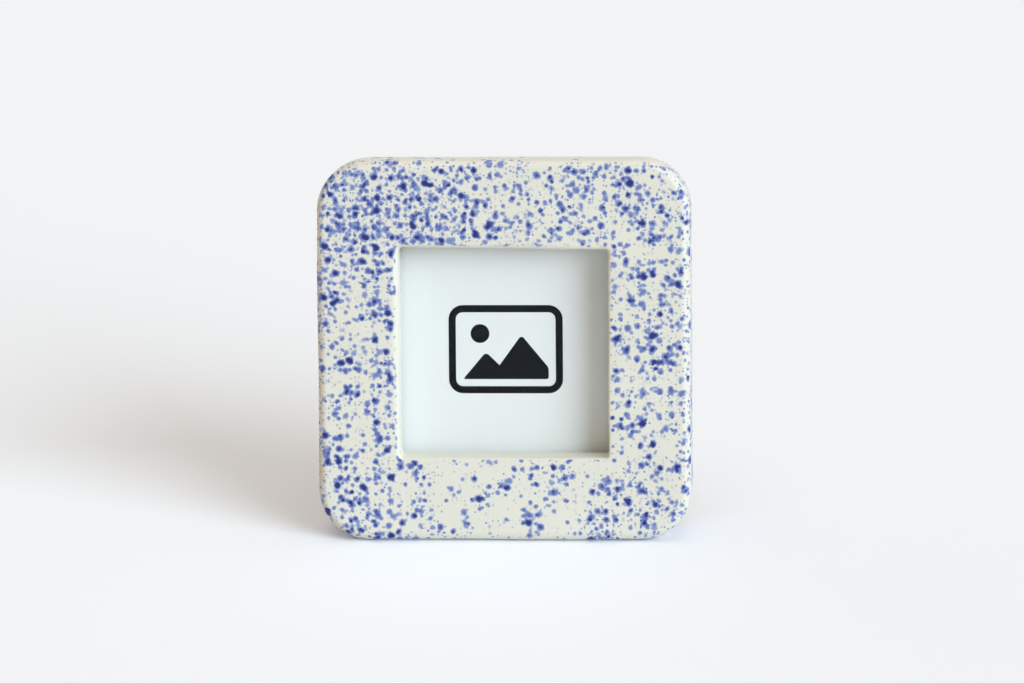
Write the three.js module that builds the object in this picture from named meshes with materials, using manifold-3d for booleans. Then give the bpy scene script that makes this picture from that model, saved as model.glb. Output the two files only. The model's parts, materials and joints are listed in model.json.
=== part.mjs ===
// Square photo frame of glazed stoneware with an easel back.
//
// A thick ceramic body with round corners holds a glass pane, a picture card and a packing
// board in the rebate behind its window. A back board closes the rebate and four turn
// buttons keep it in. A strut hinged to the back board carries the frame as it leans back,
// and a ribbon stops the strut from opening further.
//
// Millimetres, +Z up, with the floor at Z = 0. The pieces are laid out in the frame's own
// upright coordinates, X to the right, Y from the front face to the back and Z up from the
// bottom edge. The whole is then leaned back until it stands on the floor.

import * as THREE from "three";
import { mergeVertices } from "three/addons/utils/BufferGeometryUtils.js";
import Module from "manifold-3d";

const wasm = await Module();
wasm.setup();

// Window of the ceramic body, and the borders around it
const windowWidth = 73;
const windowHeight = 71.5;
const windowCornerRadius = 1.4;
const windowEdgeRadius = 2.2;
const sideBorder = 28.5;
const topBorder = 31.3;
const bottomBorder = 30;
const frameDepth = 20;
const cornerRadius = 17.5;
const edgeRadius = 3;
const toeGap = 0.35; // between the front edge's rounding and the floor, in front of the foot
const leanAngle = THREE.MathUtils.degToRad(12);

// Rebate behind the window, and the sheets in it from front to back
const rebateOverlap = 4.5; // how far the sheets reach behind the border on each side
const rebateCornerRadius = 3;
const glassThickness = 2;
const cardThickness = 0.4;
const packingThickness = 3.4;
const boardThickness = 3;

// Turn buttons, with the screws and plugs that hold them to the ceramic
const buttonOverlap = 9; // how far a button's tip reaches over the rebate
const buttonWidth = 8;
const buttonThickness = 1;
const pivotInset = 7; // from the rebate's side wall to the button's pivot
const pivotSpacing = 48; // between the two pivots on one side
const plugLength = 9;
const plugWall = 1;
const screwRadius = 1.3;
const screwTipGap = 1.5; // the screw stops this far short of the plug's end
const screwHeadRadius = 2.8;
const screwHeadHeight = 1.7;
const driveLength = 3.2; // of each arm of the cross recess in the screw's head
const driveWidth = 0.7;
const driveDepth = 0.9;

// Hinge of the strut
const hingeDrop = 14; // from the back board's top edge to the pin
const hingeWidth = 24;
const leafLength = 12; // from the pin to the leaf's end
const leafThickness = 0.7;
const pinRadius = 1;
const pinHeadRadius = 1.6;
const pinHeadLength = 0.8;
const rivetSideInset = 5.5; // from the leaf's side
const rivetEndInset = 4; // from the leaf's end
const rivetRadius = 1.1;
const rivetHeadRadius = 2.2;
const rivetHeadHeight = 0.9;

// Strut
const strutThickness = 2.5;
const strutShoulder = 2; // how far its top stands out beside the hinge
const strutFootWidth = 46; // level with the frame's bottom edge, when folded
const strutCornerRadius = 4;
const strutGap = 1.6; // between the folded strut and the back board
const openAngle = THREE.MathUtils.degToRad(24);

// Ribbon stay
const ribbonWidth = 10;
const ribbonThickness = 0.3;
const ribbonTab = 9; // length that lies flat at each end
const ribbonBoardDrop = 44; // from the pin to where it leaves the back board
const ribbonStrutDrop = 54; // from the pin to where it leaves the strut
const ribbonRivetRadius = 0.9;
const ribbonRivetHeadRadius = 1.9;
const ribbonRivetHeadHeight = 0.6;

// Clearances
const seatGap = 0.3; // between flat faces that rest on each other
const edgeGap = 0.5; // between a sheet's edge and the rebate's wall
const fitGap = 0.15; // around a shank, pin or plug in its hole
const knuckleGap = 0.3; // between the hinge's knuckles, along the pin
const ribbonGap = 0.2; // between the ribbon and what lies above and below it

// Facets
const cornerSteps = 7;
const edgeSteps = 4;
const roundSides = 20;
const domeSteps = 4;
const weldDistance = 1e-4;

// Sizes and places worked out from those above
const frameWidth = windowWidth + 2 * sideBorder;
const frameHeight = windowHeight + topBorder + bottomBorder;
const windowCentre = bottomBorder + windowHeight / 2;
const rebateWidth = windowWidth + 2 * rebateOverlap;
const rebateHeight = windowHeight + 2 * rebateOverlap;
const sheetWidth = rebateWidth - 2 * edgeGap;
const sheetHeight = rebateHeight - 2 * edgeGap;
const boardFront = frameDepth - boardThickness;
const packingFront = boardFront - seatGap - packingThickness;
const cardFront = packingFront - seatGap - cardThickness;
const glassFront = cardFront - seatGap - glassThickness;
const rebateFront = glassFront - seatGap;
const pivotX = rebateWidth / 2 + pivotInset;
const buttonFront = frameDepth + seatGap;
const screwSeat = buttonFront + buttonThickness + seatGap;
const screwHoleRadius = screwRadius + fitGap;
const plugRadius = screwHoleRadius + plugWall;
const knuckleRadius = (strutGap + strutThickness + leafThickness) / 2;
const knuckleLength = (hingeWidth - 2 * knuckleGap) / 3;
const pinY = frameDepth + seatGap + knuckleRadius;
const pinZ = windowCentre + sheetHeight / 2 - hingeDrop;
const rivetX = hingeWidth / 2 - rivetSideInset;
const rivetZ = leafLength - rivetEndInset;
const rivetHoleRadius = rivetRadius + fitGap;
const strutFront = strutGap - seatGap - knuckleRadius; // from the pin, when folded
const ribbonHoleRadius = ribbonRivetRadius + fitGap;
const ribbonBoardRivetZ = pinZ - ribbonBoardDrop + ribbonTab / 2;
const ribbonStrutRivetZ = ribbonTab / 2 - ribbonStrutDrop; // from the pin, when folded
const through = 4 * frameDepth; // length of a tool that cuts right through a sheet

// Left and right are as seen from the front.
const sides = [
  { name: "left", side: -1 },
  { name: "right", side: 1 },
];
const pivots = sides.flatMap(({ name, side }) => [
  { name: `upper_${name}`, side, x: side * pivotX, z: windowCentre + pivotSpacing / 2 },
  { name: `lower_${name}`, side, x: side * pivotX, z: windowCentre - pivotSpacing / 2 },
]);

const glazedStoneware = new THREE.MeshStandardMaterial({ color: 0xe0e2d8, roughness: 0.35 });
const floatGlass = new THREE.MeshStandardMaterial({
  color: 0xdfeeea,
  roughness: 0.05,
  transparent: true,
  opacity: 0.3,
});
const whiteCard = new THREE.MeshStandardMaterial({ color: 0xe3eaea, roughness: 0.8 });
const greyBoard = new THREE.MeshStandardMaterial({ color: 0x9a948a, roughness: 0.9 });
const blackFlock = new THREE.MeshStandardMaterial({ color: 0x26262a, roughness: 0.95 });
const brass = new THREE.MeshStandardMaterial({ color: 0xb8934f, roughness: 0.35, metalness: 1 });
const steel = new THREE.MeshStandardMaterial({ color: 0xb4b6b8, roughness: 0.35, metalness: 1 });
const nylon = new THREE.MeshStandardMaterial({ color: 0xd8d6cf, roughness: 0.6 });
const blackSatin = new THREE.MeshStandardMaterial({ color: 0x1c1c20, roughness: 0.6 });

// Solids for the boolean cuts and joins
function solidOf(geometry) {
  const bare = geometry.clone().deleteAttribute("normal").deleteAttribute("uv");
  const merged = mergeVertices(bare, weldDistance);
  return new wasm.Manifold(
    new wasm.Mesh({
      numProp: 3,
      vertProperties: merged.attributes.position.array,
      triVerts: new Uint32Array(merged.index.array),
    }),
  );
}

function geometryOf(solid) {
  const mesh = solid.getMesh();
  const geometry = new THREE.BufferGeometry();
  geometry.setAttribute("position", new THREE.BufferAttribute(mesh.vertProperties, 3));
  geometry.setIndex(new THREE.BufferAttribute(mesh.triVerts, 1));
  geometry.computeVertexNormals();
  return geometry;
}

function cut(geometry, ...tools) {
  return geometryOf(tools.reduce((rest, tool) => rest.subtract(solidOf(tool)), solidOf(geometry)));
}

function join(geometry, ...others) {
  return geometryOf(others.reduce((sum, other) => sum.add(solidOf(other)), solidOf(geometry)));
}

function common(geometry, other) {
  return geometryOf(solidOf(geometry).intersect(solidOf(other)));
}

// A rectangle with round corners, centred on (x, z).
function roundedRectangle(width, height, radius, x, z) {
  const right = x + width / 2 - radius;
  const left = x - width / 2 + radius;
  const top = z + height / 2 - radius;
  const bottom = z - height / 2 + radius;
  const quarter = Math.PI / 2;
  return new THREE.Shape()
    .absarc(right, bottom, radius, -quarter, 0)
    .absarc(right, top, radius, 0, quarter)
    .absarc(left, top, radius, quarter, 2 * quarter)
    .absarc(left, bottom, radius, 2 * quarter, 3 * quarter);
}

// A plate with its outline in the XZ plane, from y = front to y = front + depth, with its
// front and back edges rounded.
function plate(shape, front, depth, rounding = 0) {
  const geometry = new THREE.ExtrudeGeometry(shape, {
    depth: depth - 2 * rounding,
    bevelEnabled: rounding > 0,
    bevelThickness: rounding,
    bevelSize: rounding,
    bevelOffset: -rounding,
    bevelSegments: edgeSteps,
    curveSegments: cornerSteps,
  });
  return geometry.rotateX(Math.PI / 2).translate(0, front + depth - rounding, 0);
}

// A strip across X whose section is a shape in the YZ plane.
function strip(shape, width) {
  const geometry = new THREE.ExtrudeGeometry(shape, { depth: width, bevelEnabled: false });
  const axes = new THREE.Matrix4().makeBasis(
    new THREE.Vector3(0, 1, 0),
    new THREE.Vector3(0, 0, 1),
    new THREE.Vector3(1, 0, 0),
  );
  return geometry.translate(0, 0, -width / 2).applyMatrix4(axes);
}

// A round post along Y, from y = front to y = front + length.
function post(radius, front, length, x, z) {
  const geometry = new THREE.CylinderGeometry(radius, radius, length, roundSides);
  return geometry.translate(x, front + length / 2, z);
}

// A round tool along Y that cuts through any sheet at (x, z).
function drill(radius, x, z) {
  return post(radius, -through / 2, through, x, z);
}

// A round bar along X, centred on x.
function crossBar(radius, length, x) {
  const geometry = new THREE.CylinderGeometry(radius, radius, length, roundSides);
  return geometry.rotateZ(Math.PI / 2).translate(x, 0, 0);
}

// A box centred on x, from y = front and z = foot.
function block(width, depth, height, x, front, foot) {
  const geometry = new THREE.BoxGeometry(width, depth, height);
  return geometry.translate(x, front + depth / 2, foot + height / 2);
}

// A tool that cuts away all that lies below z = level.
function floorTool(level) {
  const size = 2 * frameHeight;
  return block(size, size, size, 0, -size / 2, level - size);
}

// A shank along -Y under a domed head along +Y, with the seat of the head at the origin.
function headedPin(headRadius, headHeight, shankRadius, shankLength) {
  const profile = [
    new THREE.Vector2(0, -shankLength),
    new THREE.Vector2(shankRadius, -shankLength),
    new THREE.Vector2(shankRadius, 0),
  ];
  for (let step = 0; step < domeSteps; step += 1) {
    const angle = ((Math.PI / 2) * step) / domeSteps;
    profile.push(new THREE.Vector2(headRadius * Math.cos(angle), headHeight * Math.sin(angle)));
  }
  profile.push(new THREE.Vector2(0, headHeight));
  return new THREE.LatheGeometry(profile, roundSides);
}

function piece(name, geometry, material, x = 0, y = 0, z = 0) {
  const mesh = new THREE.Mesh(geometry, material);
  mesh.name = name;
  mesh.position.set(x, y, z);
  return mesh;
}

// A sheet that lies in the rebate.
function sheet(front, thickness) {
  const radius = rebateCornerRadius - edgeGap;
  const shape = roundedRectangle(sheetWidth, sheetHeight, radius, 0, windowCentre);
  return plate(shape, front, thickness);
}

// The body is what a block with round outer edges and a wide surround with a round-edged
// window have in common, less the rebate and the holes for the plugs. Its bottom is ground to
// a foot that lies flat on the floor when the frame leans.
function ceramicFrame() {
  const middle = frameHeight / 2;
  const outline = roundedRectangle(frameWidth, frameHeight, cornerRadius, 0, middle);
  const surround = roundedRectangle(2 * frameWidth, 2 * frameHeight, cornerRadius, 0, middle);
  surround.holes.push(
    roundedRectangle(windowWidth, windowHeight, windowCornerRadius, 0, windowCentre),
  );
  const rebate = roundedRectangle(rebateWidth, rebateHeight, rebateCornerRadius, 0, windowCentre);
  const windowed = common(
    plate(outline, 0, frameDepth, edgeRadius),
    plate(surround, 0, frameDepth, windowEdgeRadius),
  );
  const holeDepth = plugLength + seatGap;
  const plugHoles = pivots.map(({ x, z }) =>
    post(plugRadius + fitGap, frameDepth - holeDepth, 2 * holeDepth, x, z),
  );
  const footDrop = edgeRadius * Math.sin(leanAngle) + toeGap;
  return cut(
    windowed,
    plate(rebate, rebateFront, frameDepth),
    floorTool(-footDrop).rotateX(leanAngle),
    ...plugHoles,
  );
}

function backBoard() {
  const rivetHoles = sides.map(({ side }) => drill(rivetHoleRadius, side * rivetX, pinZ + rivetZ));
  const ribbonHole = drill(ribbonHoleRadius, 0, ribbonBoardRivetZ);
  return cut(sheet(boardFront, boardThickness), ...rivetHoles, ribbonHole);
}

function screwPlug() {
  return cut(post(plugRadius, -plugLength, plugLength, 0, 0), drill(screwHoleRadius, 0, 0));
}

function buttonScrew() {
  const shankLength = screwSeat - frameDepth + plugLength - screwTipGap;
  const recessFloor = screwHeadHeight - driveDepth;
  const arm = block(driveLength, screwHeadHeight, driveWidth, 0, recessFloor, -driveWidth / 2);
  const screw = headedPin(screwHeadRadius, screwHeadHeight, screwRadius, shankLength);
  return cut(screw, arm, arm.clone().rotateY(Math.PI / 2));
}

// A flat tab with round ends, pointing to +X from the pivot at the origin.
function turnButton() {
  const endRadius = buttonWidth / 2;
  const reach = pivotInset + buttonOverlap;
  const length = reach + endRadius;
  const shape = roundedRectangle(length, buttonWidth, endRadius, reach - length / 2, 0);
  return cut(plate(shape, 0, buttonThickness), drill(screwHoleRadius, 0, 0));
}

// A hinge leaf that rises from the pin at the origin, with a knuckle centred on each x.
function hingeLeaf(knuckleCentres) {
  const foot = knuckleRadius + knuckleGap;
  const leaf = block(hingeWidth, leafThickness, leafLength - foot, 0, -knuckleRadius, foot);
  const knuckles = knuckleCentres.flatMap((x) => [
    block(knuckleLength, leafThickness, leafLength, x, -knuckleRadius, 0),
    crossBar(knuckleRadius, knuckleLength, x),
  ]);
  const rivetHoles = sides.map(({ side }) => drill(rivetHoleRadius, side * rivetX, rivetZ));
  const bore = crossBar(pinRadius + fitGap, 2 * hingeWidth, 0);
  return cut(join(leaf, ...knuckles), bore, ...rivetHoles);
}

function hingePin() {
  const shankLength = hingeWidth + 2 * knuckleGap;
  const headX = (shankLength + pinHeadLength) / 2;
  return join(
    crossBar(pinRadius, shankLength + pinHeadLength, 0),
    crossBar(pinHeadRadius, pinHeadLength, -headX),
    crossBar(pinHeadRadius, pinHeadLength, headX),
  );
}

// The rivets end flush with the far side of the sheet that they go through.
function leafRivet(sheetThickness) {
  const shankLength = seatGap + leafThickness + seatGap + sheetThickness;
  return headedPin(rivetHeadRadius, rivetHeadHeight, rivetRadius, shankLength);
}

function ribbonRivet(sheetThickness) {
  const shankLength = ribbonGap + ribbonThickness + ribbonGap + sheetThickness;
  return headedPin(ribbonRivetHeadRadius, ribbonRivetHeadHeight, ribbonRivetRadius, shankLength);
}

// The strut hangs from the pin at the origin, as when it is folded, and its foot is cut level
// with the floor for the angle at which it stands open.
function strut(pinHeight) {
  const tilt = openAngle - leanAngle;
  const top = -knuckleRadius - knuckleGap;
  const bottom = -pinHeight / Math.cos(tilt) - frameDepth;
  const halfTop = hingeWidth / 2 + strutShoulder;
  const flare = (strutFootWidth / 2 - halfTop) / (pinZ + top);
  const halfBottom = halfTop + flare * (top - bottom);
  const cornerZ = top - strutCornerRadius;
  const cornerX = halfTop + flare * strutCornerRadius;
  const shape = new THREE.Shape()
    .moveTo(-halfBottom, bottom)
    .lineTo(halfBottom, bottom)
    .lineTo(cornerX, cornerZ)
    .quadraticCurveTo(halfTop, top, halfTop - strutCornerRadius, top)
    .lineTo(strutCornerRadius - halfTop, top)
    .quadraticCurveTo(-halfTop, top, -cornerX, cornerZ);
  const rivetHoles = sides.map(({ side }) => drill(rivetHoleRadius, side * rivetX, -rivetZ));
  const ribbonHole = drill(ribbonHoleRadius, 0, ribbonStrutRivetZ);
  return cut(
    plate(shape, strutFront, strutThickness),
    floorTool(-pinHeight).rotateX(-tilt),
    ...rivetHoles,
    ribbonHole,
  );
}

// A band of even thickness along a line of points in the YZ plane.
function bandShape(points, thickness) {
  const rim = (side) =>
    points.map((point, i) => {
      const before = point.clone().sub(points[i - 1] ?? point).normalize();
      const after = (points[i + 1] ?? point).clone().sub(point).normalize();
      const along = before.clone().add(after).normalize();
      const across = new THREE.Vector2(-along.y, along.x);
      const mitre = Math.max(along.dot(before), along.dot(after));
      return point.clone().addScaledVector(across, (side * thickness) / 2 / mitre);
    });
  return new THREE.Shape([...rim(-1), ...rim(1).reverse()]);
}

// The ribbon lies flat on the back board, crosses to the open strut and lies flat on it.
function ribbonStay() {
  const boardY = frameDepth + ribbonGap + ribbonThickness / 2;
  const strutY = strutFront - ribbonGap - ribbonThickness / 2;
  const boardZ = pinZ - ribbonBoardDrop;
  const hinge = new THREE.Vector2(pinY, pinZ);
  const onStrut = (drop) =>
    new THREE.Vector2(pinY + strutY, pinZ - drop).rotateAround(hinge, openAngle);
  const line = [
    new THREE.Vector2(boardY, boardZ + ribbonTab),
    new THREE.Vector2(boardY, boardZ),
    onStrut(ribbonStrutDrop),
    onStrut(ribbonStrutDrop - ribbonTab),
  ];
  const drillLength = 2 * ribbonThickness;
  const boardHole = post(
    ribbonHoleRadius,
    boardY - ribbonThickness,
    drillLength,
    0,
    ribbonBoardRivetZ,
  );
  const strutHole = post(
    ribbonHoleRadius,
    strutY - ribbonThickness,
    drillLength,
    0,
    ribbonStrutRivetZ,
  );
  return cut(
    strip(bandShape(line, ribbonThickness), ribbonWidth),
    boardHole,
    strutHole.rotateX(openAngle).translate(0, pinY, pinZ),
  );
}

// Ceramic body and the sheets in its rebate
const frame = new THREE.Group();
frame.rotation.x = -leanAngle;
const body = piece("ceramic_frame", ceramicFrame(), glazedStoneware);
frame.add(
  body,
  piece("glass_pane", sheet(glassFront, glassThickness), floatGlass),
  piece("picture_card", sheet(cardFront, cardThickness), whiteCard),
  piece("packing_board", sheet(packingFront, packingThickness), greyBoard),
  piece("back_board", backBoard(), blackFlock),
);

// Turn buttons, which point inwards over the back board
for (const { name, side, x, z } of pivots) {
  const button = piece(`turn_button_${name}`, turnButton(), brass, x, buttonFront, z);
  button.rotation.y = side > 0 ? Math.PI : 0;
  frame.add(
    button,
    piece(`button_screw_${name}`, buttonScrew(), brass, x, screwSeat, z),
    piece(`screw_plug_${name}`, screwPlug(), nylon, x, frameDepth, z),
  );
}

// Hinge on the back board
const outerKnuckle = knuckleLength + knuckleGap;
const fixedRivetY = leafThickness + seatGap - knuckleRadius;
const hinge = new THREE.Group();
hinge.position.set(0, pinY, pinZ);
hinge.add(
  piece("hinge_leaf_fixed", hingeLeaf([-outerKnuckle, outerKnuckle]), steel),
  piece("hinge_pin", hingePin(), steel),
);
for (const { name, side } of sides) {
  const rivet = leafRivet(boardThickness);
  hinge.add(piece(`fixed_leaf_rivet_${name}`, rivet, steel, side * rivetX, fixedRivetY, rivetZ));
}

// Ribbon stay, riveted to the back board
const ribbonRise = ribbonGap + ribbonThickness + ribbonGap;
const boardRivet = ribbonRivet(boardThickness);
frame.add(
  hinge,
  piece("ribbon_stay", ribbonStay(), blackSatin),
  piece("ribbon_rivet_board", boardRivet, steel, 0, frameDepth + ribbonRise, ribbonBoardRivetZ),
);

// The floor lies under the foot of the leaning body.
frame.updateMatrixWorld(true);
const floorHeight = new THREE.Box3().setFromObject(body, true).min.z;
const pinHeight = hinge.getWorldPosition(new THREE.Vector3()).z - floorHeight;

// Strut, open on the pin
const movingRivetY = knuckleRadius + seatGap;
const openStrut = new THREE.Group();
openStrut.rotation.x = openAngle;
const strutRivet = ribbonRivet(strutThickness).rotateX(Math.PI);
openStrut.add(
  piece("strut", strut(pinHeight), blackFlock),
  piece("hinge_leaf_moving", hingeLeaf([0]).rotateX(Math.PI), steel),
  piece("ribbon_rivet_strut", strutRivet, steel, 0, strutFront - ribbonRise, ribbonStrutRivetZ),
);
for (const { name, side } of sides) {
  const rivet = leafRivet(strutThickness);
  openStrut.add(
    piece(`moving_leaf_rivet_${name}`, rivet, steel, side * rivetX, movingRivetY, -rivetZ),
  );
}
hinge.add(openStrut);

// The origin is the centre of the footprint, on the floor.
const photoFrame = new THREE.Group();
photoFrame.add(frame);
photoFrame.updateMatrixWorld(true);
const footprint = new THREE.Box3().setFromObject(photoFrame, true);
frame.position.set(0, -(footprint.min.y + footprint.max.y) / 2, -floorHeight);

export default photoFrame;
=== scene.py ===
"""Looks of a small table photo frame: a speckled stoneware body around a glazed window, and an
easel back with brass turn buttons, a hinged strut and a ribbon stay.

Pieces are modelled in the frame's own upright millimetres, X to the viewer's right, Y from the
front face to the back and Z up from the bottom edge, and are then leaned back to where the
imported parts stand, in metres.
"""

import json
import math

import bmesh
import bpy
from mathutils import Matrix, Vector, noise
from mathutils.geometry import interpolate_bezier


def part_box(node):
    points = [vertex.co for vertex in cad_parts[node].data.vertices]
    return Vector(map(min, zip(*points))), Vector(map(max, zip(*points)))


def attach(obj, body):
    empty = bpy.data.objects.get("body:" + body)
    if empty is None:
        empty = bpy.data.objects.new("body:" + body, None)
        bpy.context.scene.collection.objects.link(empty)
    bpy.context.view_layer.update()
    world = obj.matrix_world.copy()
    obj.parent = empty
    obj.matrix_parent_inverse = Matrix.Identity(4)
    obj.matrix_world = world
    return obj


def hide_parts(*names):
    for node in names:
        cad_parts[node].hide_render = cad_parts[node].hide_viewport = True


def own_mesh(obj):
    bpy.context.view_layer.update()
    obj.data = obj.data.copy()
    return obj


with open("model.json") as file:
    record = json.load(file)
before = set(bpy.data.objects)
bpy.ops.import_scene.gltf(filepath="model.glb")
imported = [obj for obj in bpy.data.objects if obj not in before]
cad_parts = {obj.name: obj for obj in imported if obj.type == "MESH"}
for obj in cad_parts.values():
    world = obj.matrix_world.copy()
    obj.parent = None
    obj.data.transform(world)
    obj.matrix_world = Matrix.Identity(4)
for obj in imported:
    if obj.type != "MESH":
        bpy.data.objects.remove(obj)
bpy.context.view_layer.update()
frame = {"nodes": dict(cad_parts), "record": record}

# Ceramic body, in mm
BODY_WIDTH = 130
BODY_HEIGHT = 132.8
BODY_DEPTH = 20
BODY_CORNER = 17.5
BODY_EDGE = 3
TOE_GAP = 0.35
LEAN = math.radians(12)
WINDOW_WIDTH = 73
WINDOW_HEIGHT = 71.5
WINDOW_CENTRE = 65.75
WINDOW_CORNER = 1.4
WINDOW_EDGE = 2.2
REBATE_OVERLAP = 4.5
REBATE_WIDTH = WINDOW_WIDTH + 2 * REBATE_OVERLAP
REBATE_HEIGHT = WINDOW_HEIGHT + 2 * REBATE_OVERLAP
REBATE_CORNER = 3
REBATE_FRONT = 10
SHOULDER_DRAFT = 0.05
PLUG_HOLE_RADIUS = 2.6
PLUG_HOLE_DEPTH = 9.3
PIVOT_X = 48
PIVOT_SPACING = 48

# What the hand left in the clay, in mm: long swells and short ripples on the faces, none of them
# near the faces that were trued up, and a window trimmed a little taller than true, whose lower
# wall slopes to the front. The last is the share by which its lower and right edges are tighter.
SWELL_HEIGHT = 0.3
SWELL_LENGTH = 34
RIPPLE_HEIGHT = 0.08
RIPPLE_LENGTH = 11
TRUED_BAND = 0.5
CLAY_CELL = 3
TOP_TRIM = 0.55
TOP_SLOPE = 0.45
BOTTOM_TRIM = 0.35
BOTTOM_DRAFT = 0.95
TRIM_REACH = 15
CLEAN_CUT = 0.6

# Distances that count as the same point, as on a cut, as touching and as beside, in mm; angles
# between faces that count as flat and as sharp; and the steps in which corners, edges and round
# outlines are drawn
SAME_POINT = 0.0005
ON_CUT = 0.001
TOUCHING = 0.01
BESIDE = 0.1
FLAT_ANGLE = math.radians(1)
SHARP_ANGLE = math.radians(40)
CORNER_STEPS = 10
EDGE_STEPS = 6
EASED_STEPS = 3
HOLE_STEPS = 32
SUN_STEPS = 48

# Sheets in the rebate, in mm
SHEET_GAP = 0.5
SHEET_HEIGHT = REBATE_HEIGHT - 2 * SHEET_GAP
GLASS_FRONT = 10.3
GLASS_BACK = 12.3
CARD_FRONT = 12.6
BOARD_FRONT = 17

# Strut and ribbon, in mm; the strut's own places are from the hinge pin, folded
PIN_Y = 22.7
PIN_Z = 91.5
OPEN_ANGLE = math.radians(24)
STRUT_FRONT = -1.1
STRUT_THICKNESS = 2.5
RIBBON_WIDTH = 10
RIBBON_THICKNESS = 0.3
RIBBON_GAP = 0.2
RIBBON_TAB = 9
RIBBON_BOARD_DROP = 44
RIBBON_STRUT_DROP = 54
RIBBON_BEND = 1.6
RIBBON_RIBS = 0.4

# Flock on the back board and the strut, in mm from a face: where the bare core of a sawn edge
# starts and where it is full
FLOCK_DEPTH = (0.4, 0.55)

# Picture sign on the card, in mm from the window's centre: width, height and corner of its border,
# the sun, and the line of the hills
SIGN_OUTSIDE = (40, 31, 5)
SIGN_INSIDE = (35, 26, 2.5)
SUN_PLACE = (-9, 5.5)
SUN_RADIUS = 3.3
HILLS = [(-15, -10.5), (-7, -1), (-2.2, -5.6), (5.5, 5), (15, -6.5), (15, -10.5)]
HILLTOP_ROUND = 1.4
HILL_FOOT_ROUND = 0.8
INK_LIFT = 0.03
INK_THICKNESS = 0.02

# Sizes of droplet in the splatter, in mm: cell spacing, smallest and largest radius; then the
# density of splatter above which they fall, how fast more cells hold one beyond it, and how thick
# the pigment of one lies.
SPLATTER = [
    (1.3, (0.34, 0.58), 0.0, 0.75, 0.5),
    (1.9, (0.45, 0.75), 0.0, 0.95, 0.65),
    (2.7, (0.58, 0.9), 0.05, 1.15, 0.7),
    (2.9, (0.62, 0.98), 0.05, 1.15, 0.7),
    (2.5, (0.7, 1.05), 0.75, 1.8, 0.55),
    (3.8, (1.0, 1.45), 0.2, 0.9, 0.85),
    (4.4, (1.2, 1.75), 0.3, 0.9, 1.25),
    (1.6, (0.4, 0.75), 0.0, 1.0, 0.2),
]
DROPLET_RIM = 1.35
DROPLET_CORE = 0.2
LAYER_SHIFT = Vector((31, 17, 53))
CREEP_SIZE = 2
CREEP = 0.45

# Where the splatter fell, in mm: the drifts, the clumps along the flick of the brush, the corner
# that caught most and the foot that caught least, with what each adds to the density or takes off
DRIFT_SIZE = 22
DRIFT_GAIN = 0.3
CLUMP_LENGTH = 8
CLUMP_WIDTH = 6
CLUMP_GAIN = 0.65
FLICK_ANGLE = math.radians(40)
SPLATTERED_CORNER = (-43, 0, 115)
CORNER_CORE = 8
CORNER_REACH = 34
CORNER_DENSITY = 1.0
USUAL_DENSITY = 0.33
SPARE_FOOT = (4, 0, 18)
FOOT_CORE = 14
FOOT_REACH = 40
FOOT_LOSS = 0.34
TOP_SIDE_INSET = 0.8
TOP_SIDE_LOSS = 0.6

# Shares of the window's round: where the splatter starts, and over how much more it grows full
SPLATTER_STARTS = 0.3
SPLATTER_GROWS = 0.4

# Cobalt in the glaze: the pigment's thickness where a shade starts and where it is full.
COBALT = [
    (0.02, 0.5, "#8293c4"),
    (0.42, 0.98, "#5462a8"),
    (0.8, 1.3, "#1c256c"),
]

# Edges of the glaze, in mm: where it stops before the back and how far that line wanders, the
# band above the ground foot, and the band at the window's right edge where painted shade lies
# tan on the glaze; and the least share of thin glaze along the rim, to which painted shade is
# added towards its left
GLAZE_STOPS = (19.1, 19.5)
GLAZE_WANDER = 1.2
GROUND_BAND = (0.2, 0.05)
RIGHT_EDGE_SHADE_BAND = 3.65
LEAST_THIN = 0.05

# The photograph, in pixels
PHOTO_WIDTH = 1024
PHOTO_HEIGHT = 683
FRAME_WIDTH_PX = 374
FRAME_CENTRE_PX = (503.2, 351)

# Camera, lamps and floor: degrees to the right of the frame's front and above the floor, metres,
# and the width of the camera's sensor in mm
CAMERA_AZIMUTH = 4.5
CAMERA_ELEVATION = 18
CAMERA_DISTANCE = 2
KEY_AZIMUTH = 51
KEY_ELEVATION = 25
KEY_SPREAD = 40
KEY_POWER = 2.78
CEILING_SPREAD = 60
CEILING_POWER = 0.95
BOUNCE_AZIMUTH = -115
BOUNCE_ELEVATION = 12
BOUNCE_SPREAD = 60
BOUNCE_POWER = 0.5
FILL_LEVEL = 0.25
FLOOR_LIFT = 0.1
FLOOR_REACH = 8
FLOOR_GAP = 0.00005
SENSOR_WIDTH = 36
NEAREST = 0.01

MM = 0.001

# The floor under the leaning body, in the body's own coordinates: the way down, and how far
# down that way the foot lies from the front bottom edge.
DOWN = Vector((0, math.sin(LEAN), -math.cos(LEAN)))
FOOT_DROP = BODY_EDGE * math.sin(LEAN) + TOE_GAP

# The pane's box tells where the leaning frame stands.
pane_low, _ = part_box("glass_pane")
pane_foot = WINDOW_CENTRE - SHEET_HEIGHT / 2
lean_turn = Matrix.Rotation(-LEAN, 4, "X")
foot_front = lean_turn @ Vector((0, GLASS_FRONT, pane_foot)) * MM
foot_back = lean_turn @ Vector((0, GLASS_BACK, pane_foot)) * MM
FRAME_FOOT = Vector((0, pane_low.y - foot_front.y, pane_low.z - foot_back.z))
FRAME_PLACE = Matrix.Translation(FRAME_FOOT) @ lean_turn @ Matrix.Scale(MM, 4)
STRUT_PLACE = (
    FRAME_PLACE @ Matrix.Translation((0, PIN_Y, PIN_Z)) @ Matrix.Rotation(OPEN_ANGLE, 4, "X")
)

record = frame["record"]
slot_of = {part["node"]: part["material_slot"] for part in record["subparts"]}
body_of = {
    node: body for body, nodes in record["behaviour"]["bodies"].items() for node in nodes
}


# Materials


def linear(hex_colour):
    """An sRGB hex colour as the linear colour that a shader takes."""
    shares = [int(hex_colour[i : i + 2], 16) / 255 for i in (1, 3, 5)]
    return (*(s / 12.92 if s <= 0.04045 else ((s + 0.055) / 1.055) ** 2.4 for s in shares), 1)


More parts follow.
